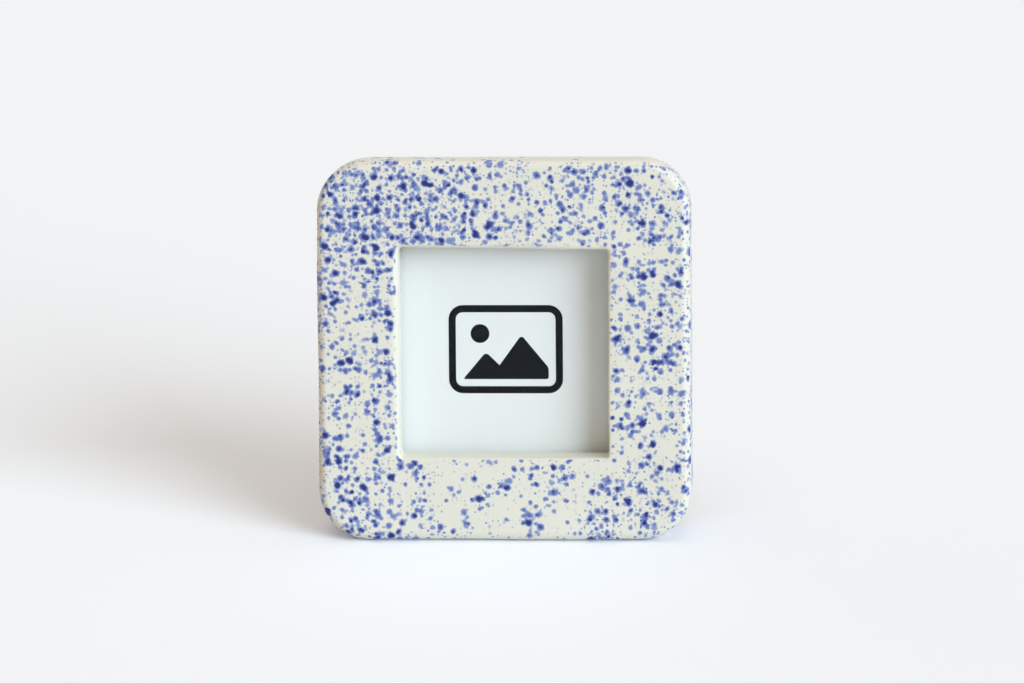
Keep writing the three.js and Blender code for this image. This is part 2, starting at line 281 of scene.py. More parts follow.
def add(tree, kind, inputs, **settings):
    """A shader node with these settings; each input is a value or the socket that feeds it."""
    made = tree.nodes.new("ShaderNode" + kind)
    for name, value in settings.items():
        setattr(made, name, value)
    for name, value in inputs.items():
        if isinstance(value, bpy.types.NodeSocket):
            tree.links.new(value, made.inputs[name])
        else:
            made.inputs[name].default_value = value
    return made


def new_material(name):
    """A material with an empty node tree, and the tree."""
    made = bpy.data.materials.new(name)
    made.use_nodes = True
    made.node_tree.nodes.clear()
    return made, made.node_tree


def place_in_mm(tree, place):
    """Where a point of the surface is in a piece's own upright millimetres."""
    coordinates = add(tree, "TexCoord", {})
    mapping = add(
        tree,
        "Mapping",
        {
            "Vector": coordinates.outputs["Object"],
            "Location": place.to_translation(),
            "Rotation": place.to_euler(),
            "Scale": (MM, MM, MM),
        },
        vector_type="TEXTURE",
    )
    return mapping.outputs["Vector"]


def splatter_density(tree, spot, aim):
    """How many droplets landed around a spot, from 0 to about 1. They fell in drifts and in clumps
    along the flick of the brush, more of them where the aim is higher, and few on the top side,
    which was turned away from the brush."""
    drift = add(tree, "TexNoise", {"Vector": spot, "Scale": 1 / DRIFT_SIZE, "Detail": 0.0})
    drifted = add(
        tree,
        "MapRange",
        {"Value": drift.outputs["Fac"], "From Min": 0.35, "From Max": 0.65, "To Max": DRIFT_GAIN},
    )
    flicked = add(
        tree,
        "Mapping",
        {
            "Vector": spot,
            "Rotation": (0, FLICK_ANGLE, 0),
            "Scale": (1 / CLUMP_LENGTH, 1 / CLUMP_WIDTH, 1 / CLUMP_WIDTH),
        },
    )
    strings = add(
        tree, "TexNoise", {"Vector": flicked.outputs["Vector"], "Scale": 1.0, "Detail": 0.0}
    )
    strung = add(
        tree,
        "MapRange",
        {
            "Value": strings.outputs["Fac"],
            "From Min": 0.4,
            "From Max": 0.64,
            "To Max": CLUMP_GAIN,
        },
    )
    clumped = add(
        tree,
        "Math",
        {0: drifted.outputs["Result"], 1: strung.outputs["Result"]},
        operation="ADD",
    )
    aimed = add(tree, "Math", {0: clumped.outputs["Value"], 1: aim}, operation="ADD")
    height = add(tree, "SeparateXYZ", {"Vector": spot})
    spared = add(
        tree,
        "MapRange",
        {
            "Value": height.outputs["Z"],
            "From Min": BODY_HEIGHT - BODY_EDGE,
            "From Max": BODY_HEIGHT - TOP_SIDE_INSET,
            "To Max": TOP_SIDE_LOSS,
        },
    )
    landing = add(
        tree,
        "Math",
        {0: aimed.outputs["Value"], 1: spared.outputs["Result"]},
        operation="SUBTRACT",
    )
    return landing.outputs["Value"]


def droplets(tree, spot, shift, aim, spacing, radii, least, share):
    """How thick the pigment lies at a spot from droplets of one size: one droplet to a cell of
    this spacing, where chance and the splatter's density keep it."""
    shifted = add(tree, "VectorMath", {0: spot, 1: shift}, operation="ADD")
    cells = add(
        tree,
        "TexVoronoi",
        {"Vector": shifted.outputs["Vector"], "Scale": 1 / spacing, "Randomness": 0.7},
        voronoi_dimensions="3D",
    )
    centre = add(
        tree, "VectorMath", {0: cells.outputs["Position"], 1: shift}, operation="SUBTRACT"
    )
    density = splatter_density(tree, centre.outputs["Vector"], aim)
    chance = add(tree, "SeparateColor", {"Color": cells.outputs["Color"]})
    odds = add(
        tree, "Math", {0: density, 1: share, 2: -least * share}, operation="MULTIPLY_ADD"
    )
    kept = add(
        tree,
        "Math",
        {0: chance.outputs["Red"], 1: odds.outputs["Value"]},
        operation="LESS_THAN",
    )
    radius = add(
        tree,
        "MapRange",
        {
            "Value": chance.outputs["Green"],
            "To Min": radii[0] / spacing,
            "To Max": radii[1] / spacing,
        },
    )
    rim = add(tree, "Math", {0: radius.outputs["Result"], 1: DROPLET_RIM}, operation="MULTIPLY")
    core = add(tree, "Math", {0: radius.outputs["Result"], 1: DROPLET_CORE}, operation="MULTIPLY")
    disc = add(
        tree,
        "MapRange",
        {
            "Value": cells.outputs["Distance"],
            "From Min": rim.outputs["Value"],
            "From Max": core.outputs["Value"],
        },
        interpolation_type="SMOOTHSTEP",
    )
    strength = add(
        tree,
        "MapRange",
        {"Value": chance.outputs["Blue"], "To Min": 0.55, "To Max": 1.2},
    )
    landed = add(
        tree,
        "Math",
        {0: disc.outputs["Result"], 1: kept.outputs["Value"]},
        operation="MULTIPLY",
    )
    thick = add(
        tree,
        "Math",
        {0: landed.outputs["Value"], 1: strength.outputs["Result"]},
        operation="MULTIPLY",
    )
    return thick.outputs["Value"]


def glazed_stoneware():
    """Stoneware, splattered with cobalt and dipped in a satin cream glaze, then fired on its
    back. The droplets have soft rims and go darker where they lie thick, the glaze is a little
    uneven, and the back that stood on the kiln shelf is bare clay."""
    made, tree = new_material("glazed_stoneware")
    spot = place_in_mm(tree, FRAME_PLACE)

    # The droplets spread a little unevenly in the glaze.
    creep = add(tree, "TexNoise", {"Vector": spot, "Scale": 1 / CREEP_SIZE, "Detail": 1.0})
    centred = add(
        tree,
        "VectorMath",
        {0: creep.outputs["Color"], 1: (0.5, 0.5, 0.5)},
        operation="SUBTRACT",
    )
    crept = add(
        tree,
        "VectorMath",
        {0: centred.outputs["Vector"], 1: (CREEP, CREEP, CREEP), 2: spot},
        operation="MULTIPLY_ADD",
    )

    # The brush was flicked from the upper left: that corner caught most, the foot least.
    to_corner = add(tree, "VectorMath", {0: spot, 1: SPLATTERED_CORNER}, operation="DISTANCE")
    corner = add(
        tree,
        "MapRange",
        {
            "Value": to_corner.outputs["Value"],
            "From Min": CORNER_REACH,
            "From Max": CORNER_CORE,
            "To Min": USUAL_DENSITY,
            "To Max": CORNER_DENSITY,
        },
    )
    to_foot = add(tree, "VectorMath", {0: spot, 1: SPARE_FOOT}, operation="DISTANCE")
    foot = add(
        tree,
        "MapRange",
        {
            "Value": to_foot.outputs["Value"],
            "From Min": FOOT_REACH,
            "From Max": FOOT_CORE,
            "To Max": FOOT_LOSS,
        },
    )
    aim = add(
        tree,
        "Math",
        {0: corner.outputs["Result"], 1: foot.outputs["Result"]},
        operation="SUBTRACT",
    ).outputs["Value"]

    pigment = None
    for number, (spacing, radii, least, share, weight) in enumerate(SPLATTER):
        shift = LAYER_SHIFT * number
        layer = droplets(tree, crept.outputs["Vector"], shift, aim, spacing, radii, least, share)
        thick = add(
            tree,
            "Math",
            {0: layer, 1: weight, 2: pigment if pigment else 0.0},
            operation="MULTIPLY_ADD",
        )
        pigment = thick.outputs["Value"]
    reach = add(tree, "Attribute", {}, attribute_name="splatter_reach")
    pigment = add(
        tree, "Math", {0: pigment, 1: reach.outputs["Fac"]}, operation="MULTIPLY"
    ).outputs["Value"]

    # Cream glaze, slightly mottled over some 20 mm, and tan over the rounded edges: a little where
    # the glaze is drawn thin and the clay shows through, and more as painted shade on the left rim
    # and the window's right edge, which face away from the window light.
    cloud = add(tree, "TexNoise", {"Vector": spot, "Scale": 1 / 20, "Detail": 3.0})
    glaze = add(
        tree,
        "Mix",
        {0: cloud.outputs["Fac"], 6: linear("#dddcd1"), 7: linear("#e6e5d9")},
        data_type="RGBA",
    )
    edge = add(tree, "Attribute", {}, attribute_name="thin_glaze_and_shade")
    tan_breakup_noise = add(tree, "TexNoise", {"Vector": spot, "Scale": 1 / 5, "Detail": 2.0})
    tan_breakup = add(
        tree,
        "MapRange",
        {"Value": tan_breakup_noise.outputs["Fac"], "From Min": 0.3, "From Max": 0.7, "To Max": 0.8},
    )
    thin_glaze_and_shade_share = add(
        tree,
        "Math",
        {0: edge.outputs["Fac"], 1: tan_breakup.outputs["Result"]},
        operation="MULTIPLY",
    )
    colour = add(
        tree,
        "Mix",
        {0: thin_glaze_and_shade_share.outputs["Value"], 6: glaze.outputs[2], 7: linear("#cdb792")},
        data_type="RGBA",
    ).outputs[2]
    for thin, thick, shade in COBALT:
        cover = add(
            tree,
            "MapRange",
            {"Value": pigment, "From Min": thin, "From Max": thick},
            interpolation_type="SMOOTHSTEP",
        )
        colour = add(
            tree,
            "Mix",
            {0: cover.outputs["Result"], 6: colour, 7: linear(shade)},
            data_type="RGBA",
        ).outputs[2]

    # The glaze stops short of the back, in an uneven line.
    depth = add(tree, "SeparateXYZ", {"Vector": spot})
    line = add(tree, "TexNoise", {"Vector": spot, "Scale": 1 / 6, "Detail": 2.0})
    dipped = add(
        tree,
        "Math",
        {0: line.outputs["Fac"], 1: GLAZE_WANDER, 2: depth.outputs["Y"]},
        operation="MULTIPLY_ADD",
    )
    bare = add(
        tree,
        "MapRange",
        {
            "Value": dipped.outputs["Value"],
            "From Min": GLAZE_STOPS[0],
            "From Max": GLAZE_STOPS[1],
        },
    ).outputs["Result"]

    # The foot was ground level after the firing, so it is bare too.
    below = add(tree, "VectorMath", {0: spot, 1: DOWN}, operation="DOT_PRODUCT")
    ground = add(
        tree,
        "MapRange",
        {
            "Value": below.outputs["Value"],
            "From Min": FOOT_DROP - GROUND_BAND[0],
            "From Max": FOOT_DROP - GROUND_BAND[1],
        },
    )
    bare = add(
        tree, "Math", {0: bare, 1: ground.outputs["Result"]}, operation="MAXIMUM"
    ).outputs["Value"]
    grit = add(tree, "TexNoise", {"Vector": spot, "Scale": 1 / 0.6, "Detail": 3.0})
    clay = add(
        tree,
        "Mix",
        {0: grit.outputs["Fac"], 6: linear("#cbbda4"), 7: linear("#e4d8c2")},
        data_type="RGBA",
    )
    surface = add(
        tree,
        "Mix",
        {0: bare, 6: colour, 7: clay.outputs[2]},
        data_type="RGBA",
    )
    sheen = add(
        tree,
        "MapRange",
        {"Value": cloud.outputs["Fac"], "To Min": 0.4, "To Max": 0.54},
    )
    roughness = add(
        tree,
        "Mix",
        {0: bare, 2: sheen.outputs["Result"], 3: 0.9},
    )
    peel = add(tree, "TexNoise", {"Vector": spot, "Scale": 1 / 2.4, "Detail": 2.0})
    relief = add(
        tree,
        "Mix",
        {0: bare, 2: peel.outputs["Fac"], 3: grit.outputs["Fac"]},
    )
    bump = add(
        tree,
        "Bump",
        {"Height": relief.outputs[0], "Strength": 0.35, "Distance": 0.06 * MM},
    )
    shader = add(
        tree,
        "BsdfPrincipled",
        {
            "Base Color": surface.outputs[2],
            "Roughness": roughness.outputs[0],
            "Specular IOR Level": 0.4,
            "Normal": bump.outputs["Normal"],
        },
    )
    add(tree, "OutputMaterial", {"Surface": shader.outputs["BSDF"]})
    return made


def float_glass():
    """Float glass with a faint green cast, wiped clean: it shows the card and hardly mirrors."""
    made, tree = new_material("float_glass")
    spot = place_in_mm(tree, FRAME_PLACE)
    wiping = add(tree, "TexNoise", {"Vector": spot, "Scale": 1 / 18, "Detail": 4.0})
    roughness = add(
        tree,
        "MapRange",
        {"Value": wiping.outputs["Fac"], "To Min": 0.0, "To Max": 0.03},
    )
    pane = add(
        tree,
        "BsdfPrincipled",
        {
            "Base Color": linear("#fcfefd"),
            "Roughness": roughness.outputs["Result"],
            "IOR": 1.5,
            "Transmission Weight": 1.0,
            "Specular Tint": linear("#404040"),
        },
    )
    clear = add(tree, "BsdfTransparent", {"Color": linear("#fbfdfc")})
    path = add(tree, "LightPath", {})
    lighting = add(
        tree,
        "Math",
        {0: path.outputs["Is Shadow Ray"], 1: path.outputs["Is Diffuse Ray"]},
        operation="MAXIMUM",
    )
    passing = add(
        tree,
        "MixShader",
        {
            0: lighting.outputs["Value"],
            1: pane.outputs["BSDF"],
            2: clear.outputs["BSDF"],
        },
    )
    add(tree, "OutputMaterial", {"Surface": passing.outputs["Shader"]})
    return made


def white_card():
    """Coated white card: smooth and matt, with a faint cloudiness of its fibres."""
    made, tree = new_material("white_card")
    spot = place_in_mm(tree, FRAME_PLACE)
    fibres = add(tree, "TexNoise", {"Vector": spot, "Scale": 1 / 0.8, "Detail": 4.0})
    colour = add(
        tree,
        "Mix",
        {0: fibres.outputs["Fac"], 6: linear("#eeeef2"), 7: linear("#f4f4f8")},
        data_type="RGBA",
    )
    bump = add(
        tree,
        "Bump",
        {"Height": fibres.outputs["Fac"], "Strength": 0.2, "Distance": 0.02 * MM},
    )
    shader = add(
        tree,
        "BsdfPrincipled",
        {
            "Base Color": colour.outputs[2],
            "Roughness": 0.6,
            "Normal": bump.outputs["Normal"],
        },
    )
    add(tree, "OutputMaterial", {"Surface": shader.outputs["BSDF"]})
    return made


def printing_ink():
    """Near-black printing ink on card: flat, with a trace of the card's fibres."""
    made, tree = new_material("printing_ink")
    spot = place_in_mm(tree, FRAME_PLACE)
    fibres = add(tree, "TexNoise", {"Vector": spot, "Scale": 1 / 0.5, "Detail": 3.0})
    colour = add(
        tree,
        "Mix",
        {0: fibres.outputs["Fac"], 6: linear("#0b0d12"), 7: linear("#15181f")},
        data_type="RGBA",
    )
    shader = add(
        tree,
        "BsdfPrincipled",
        {"Base Color": colour.outputs[2], "Roughness": 0.6, "Specular IOR Level": 0.1},
    )
    add(tree, "OutputMaterial", {"Surface": shader.outputs["BSDF"]})
    return made


def grey_board():
    """Grey recycled board: matt, with paler and darker flecks of paper."""
    made, tree = new_material("grey_board")
    spot = place_in_mm(tree, FRAME_PLACE)
    flecks = add(tree, "TexNoise", {"Vector": spot, "Scale": 1 / 1.2, "Detail": 5.0})
    colour = add(
        tree,
        "Mix",
        {0: flecks.outputs["Fac"], 6: linear("#857f75"), 7: linear("#b0aa9f")},
        data_type="RGBA",
    )
    shader = add(tree, "BsdfPrincipled", {"Base Color": colour.outputs[2], "Roughness": 0.9})
    add(tree, "OutputMaterial", {"Surface": shader.outputs["BSDF"]})
    return made


def flocked_board(name, place, front, thickness):
    """Fibreboard faced with black flock: a deep matt pile that catches light at a glancing
    angle, brushed lighter and darker in places, with the brown core bare at the sawn edges."""
    made, tree = new_material(name)
    spot = place_in_mm(tree, place)
    pile = add(tree, "TexNoise", {"Vector": spot, "Scale": 1 / 0.45, "Detail": 2.0})
    brushed = add(tree, "TexNoise", {"Vector": spot, "Scale": 1 / 16, "Detail": 2.0})
    lying = add(
        tree,
        "MapRange",
        {"Value": brushed.outputs["Fac"], "From Min": 0.35, "From Max": 0.65, "To Max": 0.6},
    )
    standing = add(
        tree,
        "Math",
        {0: pile.outputs["Fac"], 1: 0.5, 2: lying.outputs["Result"]},
        operation="MULTIPLY_ADD",
    )
    flock = add(
        tree,
        "Mix",
        {0: standing.outputs["Value"], 6: linear("#141417"), 7: linear("#3c3c42")},
        data_type="RGBA",
    )
    core = add(
        tree,
        "Mix",
        {0: pile.outputs["Fac"], 6: linear("#4b3626"), 7: linear("#7a5c40")},
        data_type="RGBA",
    )
    depth = add(tree, "SeparateXYZ", {"Vector": spot})
    off_middle = add(
        tree,
        "Math",
        {0: depth.outputs["Y"], 1: front + thickness / 2},
        operation="SUBTRACT",
    )
    away = add(tree, "Math", {0: off_middle.outputs["Value"]}, operation="ABSOLUTE")
    sawn = add(
        tree,
        "MapRange",
        {
            "Value": away.outputs["Value"],
            "From Min": thickness / 2 - FLOCK_DEPTH[0],
            "From Max": thickness / 2 - FLOCK_DEPTH[1],
        },
    )
    colour = add(
        tree,
        "Mix",
        {0: sawn.outputs["Result"], 6: flock.outputs[2], 7: core.outputs[2]},
        data_type="RGBA",
    )
    bump = add(
        tree,
        "Bump",
        {"Height": pile.outputs["Fac"], "Strength": 0.6, "Distance": 0.25 * MM},
    )
    shader = add(
        tree,
        "BsdfPrincipled",
        {
            "Base Color": colour.outputs[2],
            "Roughness": 0.95,
            "Specular IOR Level": 0.2,
            "Sheen Weight": 0.35,
            "Sheen Roughness": 0.45,
            "Sheen Tint": linear("#8c8c92"),
            "Normal": bump.outputs["Normal"],
        },
    )
    add(tree, "OutputMaterial", {"Surface": shader.outputs["BSDF"]})
    return made


def rolled_metal(name, bright, dull, roughest):
    """Rolled sheet metal: fine lines along the rolling, with duller patches from handling."""
    made, tree = new_material(name)
    spot = place_in_mm(tree, FRAME_PLACE)
    rolling = add(
        tree,
        "Mapping",
        {"Vector": spot, "Scale": (0.12, 1.0, 1.0)},
    )
    lines = add(
        tree,
        "TexNoise",
        {"Vector": rolling.outputs["Vector"], "Scale": 1 / 0.25, "Detail": 2.0},
    )
    handled = add(tree, "TexNoise", {"Vector": spot, "Scale": 1 / 5, "Detail": 3.0})
    colour = add(
        tree,
        "Mix",
        {0: handled.outputs["Fac"], 6: linear(bright), 7: linear(dull)},
        data_type="RGBA",
    )
    roughness = add(
        tree,
        "MapRange",
        {
            "Value": handled.outputs["Fac"],
            "From Min": 0.3,
            "From Max": 0.7,
            "To Min": 0.3,
            "To Max": roughest,
        },
    )
    bump = add(
        tree,
        "Bump",
        {"Height": lines.outputs["Fac"], "Strength": 0.25, "Distance": 0.02 * MM},
    )
    shader = add(
        tree,
        "BsdfPrincipled",
        {
            "Base Color": colour.outputs[2],
            "Metallic": 1.0,
            "Roughness": roughness.outputs["Result"],
            "Normal": bump.outputs["Normal"],
        },
    )
    add(tree, "OutputMaterial", {"Surface": shader.outputs["BSDF"]})
    return made


def nylon():
    """Moulded nylon: off-white, waxy and slightly uneven."""
    made, tree = new_material("nylon")
    spot = place_in_mm(tree, FRAME_PLACE)
    flow = add(tree, "TexNoise", {"Vector": spot, "Scale": 1 / 2, "Detail": 2.0})
    colour = add(
        tree,
        "Mix",
        {0: flow.outputs["Fac"], 6: linear("#d2cfc4"), 7: linear("#e2dfd6")},
        data_type="RGBA",
    )
    shader = add(tree, "BsdfPrincipled", {"Base Color": colour.outputs[2], "Roughness": 0.5})
    add(tree, "OutputMaterial", {"Surface": shader.outputs["BSDF"]})
    return made


def black_satin():
    """Woven satin ribbon: long floats give a soft shine across the fine ribs of the weft. The
    ribs are drawn at 0.4 mm, coarser than they are, so that they show."""
    made, tree = new_material("black_satin")
    along = add(tree, "UVMap", {})
    apart = add(tree, "SeparateXYZ", {"Vector": along.outputs["UV"]})
    ribs = add(
        tree,
        "Math",
        {0: apart.outputs["Y"], 1: 2 * math.pi / RIBBON_RIBS},
        operation="MULTIPLY",
    )
    wave = add(tree, "Math", {0: ribs.outputs["Value"]}, operation="SINE")
    height = add(
        tree,
        "MapRange",
        {"Value": wave.outputs["Value"], "From Min": -1.0, "From Max": 1.0},
    )
    colour = add(
        tree,
        "Mix",
        {0: height.outputs["Result"], 6: linear("#0d0d10"), 7: linear("#1d1d22")},
        data_type="RGBA",
    )
    bump = add(
        tree,
        "Bump",
        {"Height": height.outputs["Result"], "Strength": 0.4, "Distance": 0.05 * MM},
    )
    shader = add(
        tree,
        "BsdfPrincipled",
        {
            "Base Color": colour.outputs[2],
            "Roughness": 0.42,
            "Sheen Weight": 0.25,
            "Normal": bump.outputs["Normal"],
        },
    )
    add(tree, "OutputMaterial", {"Surface": shader.outputs["BSDF"]})
    return made


finishes = {
    "ceramic_frame": glazed_stoneware(),
    "glass_pane": float_glass(),
    "picture_card": white_card(),
    "packing_board": grey_board(),
    "back_board": flocked_board("flocked_back", FRAME_PLACE, BOARD_FRONT, BODY_DEPTH - BOARD_FRONT),
    "strut": flocked_board("flocked_strut", STRUT_PLACE, STRUT_FRONT, STRUT_THICKNESS),
    "brass": rolled_metal("brass", "#d3ae68", "#b98f4c", 0.42),
    "nickel_plated_steel": rolled_metal("nickel_plated_steel", "#d2d1cc", "#b9b8b3", 0.4),
    "nylon": nylon(),
    "ribbon_stay": black_satin(),
    "card_print": printing_ink(),
}


# Pieces


def finished(mesh, name, place, finish, crease=35):
    """A piece from its modelled mesh, set in its place, with faces that meet at more than the
    crease angle kept crisp."""
    bmesh.ops.transform(mesh, matrix=place, verts=mesh.verts)
    data = bpy.data.meshes.new(name)
    mesh.to_mesh(data)
    mesh.free()
    data.shade_smooth()
    data.set_sharp_from_angle(angle=math.radians(crease))
    data.materials.append(finish)
    piece = bpy.data.objects.new(name, data)
    bpy.context.scene.collection.objects.link(piece)
    return piece


def rounded_off(mesh, geom, affect, radius, steps, clamp_overlap=False):
    """Rounds off these vertices or edges, and returns what the bevel made."""
    return bmesh.ops.bevel(
        mesh,
        geom=geom,
        offset=radius,
        offset_type="OFFSET",
        affect=affect,
        segments=steps,
        profile=0.5,
        material=-1,
        clamp_overlap=clamp_overlap,
    )


def outline(mesh, width, height, radius, centre, depth):
    """The edges of a rectangle with round corners, upright at this depth."""
    corners = [
        mesh.verts.new((x * width / 2, depth, centre + z * height / 2))
        for x, z in ((-1, -1), (1, -1), (1, 1), (-1, 1))
    ]
    mesh.faces.new(corners)
    arcs = rounded_off(mesh, corners, "VERTICES", radius, CORNER_STEPS)
    face = arcs["verts"][0].link_faces[0]
    edges = face.edges[:]
    bmesh.ops.delete(mesh, geom=[face], context="FACES_ONLY")
    return edges


def ceramic_body():
    """The glazed body, with the slight unevenness of a hand-pressed piece."""
    mesh = bmesh.new()
    middle = BODY_HEIGHT / 2
    body = (BODY_WIDTH, BODY_HEIGHT, BODY_CORNER, middle)
    window = (WINDOW_WIDTH, WINDOW_HEIGHT, WINDOW_CORNER, WINDOW_CENTRE)
    rebate = (REBATE_WIDTH, REBATE_HEIGHT, REBATE_CORNER, WINDOW_CENTRE)
    back = outline(mesh, *body, BODY_DEPTH)
    front = outline(mesh, *body, 0)
    window_front = outline(mesh, *window, 0)
    window_back = outline(mesh, *window, REBATE_FRONT)
    rebate_front = outline(mesh, *rebate, REBATE_FRONT + SHOULDER_DRAFT)
    rebate_back = outline(mesh, *rebate, BODY_DEPTH)
    round_the_section = [back, front, window_front, window_back, rebate_front, rebate_back]
    for near, far in zip(round_the_section, round_the_section[1:] + [back]):
        bmesh.ops.bridge_loops(mesh, edges=near + far)
    for edges, radius in ((front + back, BODY_EDGE), (window_front, WINDOW_EDGE)):
        rounded_off(mesh, edges, "EDGES", radius, EDGE_STEPS)

    # The back face is opened, and filled again around the holes for the plugs.
    flat_back = [f for f in mesh.faces if all(v.co.y > BODY_DEPTH - TOUCHING for v in f.verts)]
    bmesh.ops.delete(mesh, geom=flat_back, context="FACES")
    slice_up(mesh, CLAY_CELL)
    rims = [e for e in mesh.edges if e.is_boundary]
    holes = []
    for x in (-PIVOT_X, PIVOT_X):
        for z in (-PIVOT_SPACING / 2, PIVOT_SPACING / 2):
            centre = Matrix.Translation((x, BODY_DEPTH, WINDOW_CENTRE + z))
            circle = bmesh.ops.create_circle(
                mesh,
                segments=HOLE_STEPS,
                radius=PLUG_HOLE_RADIUS,
                matrix=centre @ Matrix.Rotation(math.pi / 2, 4, "X"),
            )
            holes.append(list({e for v in circle["verts"] for e in v.link_edges}))
    bmesh.ops.triangle_fill(
        mesh,
        use_beauty=True,
        edges=rims + [e for hole in holes for e in hole],
        normal=(0, 1, 0),
    )
    for hole in holes:
        wall = bmesh.ops.extrude_edge_only(mesh, edges=hole)["geom"]
        floor_verts = [g for g in wall if isinstance(g, bmesh.types.BMVert)]
        floor_edges = [
            g
            for g in wall
            if isinstance(g, bmesh.types.BMEdge) and all(v in floor_verts for v in g.verts)
        ]
        bmesh.ops.translate(mesh, verts=floor_verts, vec=(0, -PLUG_HOLE_DEPTH, 0))
        bmesh.ops.edgeloop_fill(mesh, edges=floor_edges)
    bmesh.ops.recalc_face_normals(mesh, faces=mesh.faces)

    # Clay that was pressed and smoothed by hand is nowhere quite flat, but the rebate and the
    # back were trued up.
    mesh.normal_update()
    # One layer holds how tan the glaze is: partly glaze drawn thin on the rounded edges, and mostly
    # painted shade on the left rim and the window's right edge.
    thin = mesh.verts.layers.float.new("thin_glaze_and_shade")
    reach = mesh.verts.layers.float.new("splatter_reach")
    moves = [
        (v, v.normal * hand_unevenness(v.co) + hand_trim(v.co) + clean_cut(v.co))
        for v in mesh.verts
    ]
    for v, move in moves:
        v[thin] = thin_glaze_and_painted_shade(v.co)
        v[reach] = splatter_reach(v.co)
        v.co += move
    grind_foot(mesh)
    return finished(mesh, "speckled_body", FRAME_PLACE, finishes["ceramic_frame"], crease=45)


def grind_foot(mesh):
    """Grinds the bottom to a foot that lies flat on the floor."""
    ground = bmesh.ops.bisect_plane(
        mesh,
        geom=mesh.verts[:] + mesh.edges[:] + mesh.faces[:],
        dist=ON_CUT,
        plane_co=DOWN * FOOT_DROP,
        plane_no=DOWN,
        clear_outer=True,
    )
    rim = [g for g in ground["geom_cut"] if isinstance(g, bmesh.types.BMEdge)]
    bmesh.ops.edgeloop_fill(mesh, edges=rim)
    bmesh.ops.recalc_face_normals(mesh, faces=mesh.faces)


def slice_up(mesh, cell):
    """Slices the body into cells of about this size, so that its faces can be uneven."""
    for axis, low, high in (
        (Vector((1, 0, 0)), -BODY_WIDTH / 2, BODY_WIDTH / 2),
        (Vector((0, 1, 0)), 0, BODY_DEPTH),
        (Vector((0, 0, 1)), 0, BODY_HEIGHT),
    ):
        slices = round((high - low) / cell)
        for i in range(1, slices):
            bmesh.ops.bisect_plane(
                mesh,
                geom=mesh.verts[:] + mesh.edges[:] + mesh.faces[:],
                dist=ON_CUT,
                plane_co=axis * (low + (high - low) * i / slices),
                plane_no=axis,
            )


def hand_unevenness(spot):
    """How far the clay stands out from true at a spot, in mm."""
    within_width = abs(spot.x) < REBATE_WIDTH / 2 + BESIDE
    within_height = abs(spot.z - WINDOW_CENTRE) < REBATE_HEIGHT / 2 + BESIDE
    true_from = REBATE_FRONT if within_width and within_height else BODY_DEPTH
    fade = max(0, 1 - spot.y / (true_from - TRUED_BAND))
    swell = SWELL_HEIGHT * noise.noise(spot / SWELL_LENGTH)
    ripple = RIPPLE_HEIGHT * noise.noise(spot / RIPPLE_LENGTH)
    return fade * (swell + ripple)


def hand_trim(spot):
    """The move at a spot that leaves the window as it was trimmed by hand: a little taller than
    true, with its top edge higher on the left and its lower wall sloping down to the front. It
    dies away some way from the edges."""
    if spot.y > REBATE_FRONT:
        return Vector()
    up = spot.z - WINDOW_CENTRE
    from_edge = abs(abs(up) - WINDOW_HEIGHT / 2)
    from_window = max(from_edge, abs(spot.x) - WINDOW_WIDTH / 2)
    share = max(0, 1 - from_window / TRIM_REACH)
    to_the_right = spot.x / (WINDOW_WIDTH / 2)
    sloped = BOTTOM_DRAFT * (1 - spot.y / REBATE_FRONT)
    rise = TOP_TRIM - TOP_SLOPE * to_the_right if up > 0 else -BOTTOM_TRIM - sloped
    return Vector((0, 0, share * rise))


def clean_cut(spot):
    """The move at a spot that tightens the round of the window's lower and right edges, which
    were cut cleaner than its upper and left ones."""
    outside = -inset(spot, WINDOW_WIDTH, WINDOW_HEIGHT, WINDOW_CORNER, WINDOW_CENTRE)
    if not -TOUCHING <= outside <= WINDOW_EDGE + TOUCHING or spot.y > WINDOW_EDGE + TOUCHING:
        return Vector()
    up = spot.z - WINDOW_CENTRE
    past_side = max(abs(spot.x) - WINDOW_WIDTH / 2 + WINDOW_CORNER, 0)
    past_end = max(abs(up) - WINDOW_HEIGHT / 2 + WINDOW_CORNER, 0)
    away = Vector((math.copysign(past_side, spot.x), 0, math.copysign(past_end, up)))
    low_right = 0.5 + spot.x / WINDOW_WIDTH - up / WINDOW_HEIGHT
    from_edge = away.normalized() * outside + Vector((0, spot.y, 0))
    return -CLEAN_CUT * clamped(low_right) * from_edge


def clamped(share):
    """The share, kept between 0 and 1."""
    return min(max(share, 0), 1)


def inset(spot, width, height, radius, centre):
    """How far a spot lies inside the outline of a rectangle with round corners, in mm."""
    across = abs(spot.x) - width / 2 + radius
    up = abs(spot.z - centre) - height / 2 + radius
    beyond = math.hypot(max(across, 0), max(up, 0))
    return radius - beyond - min(max(across, up), 0)


def thin_glaze_and_painted_shade(spot):
    """How tan the glaze is at a spot: 0 on the flat faces, and up to 1 along the round of the
    rim, a little all round where the glaze is drawn thin and most on the left, and along the
    window's right edge; on the left and at the window's right edge it is painted shade, on the
    sides that face away from the window light."""
    from_side = inset(spot, BODY_WIDTH, BODY_HEIGHT, BODY_CORNER, BODY_HEIGHT / 2)
    on_the_round = max(0, 1 - abs(from_side - spot.y) / BODY_EDGE)
    quarter = BODY_WIDTH / 4
    left_in_shade = clamped((-spot.x - quarter) / quarter)
    rim = on_the_round * (LEAST_THIN + (1 - LEAST_THIN) * left_in_shade)
    from_window = -inset(spot, WINDOW_WIDTH, WINDOW_HEIGHT, WINDOW_CORNER, WINDOW_CENTRE)
    on_window_edge = max(0, 1 - abs(from_window - spot.y) / WINDOW_EDGE)
    to_the_right = clamped((spot.x - WINDOW_WIDTH / 2) / RIGHT_EDGE_SHADE_BAND + 1)
    return max(rim, on_window_edge * to_the_right)


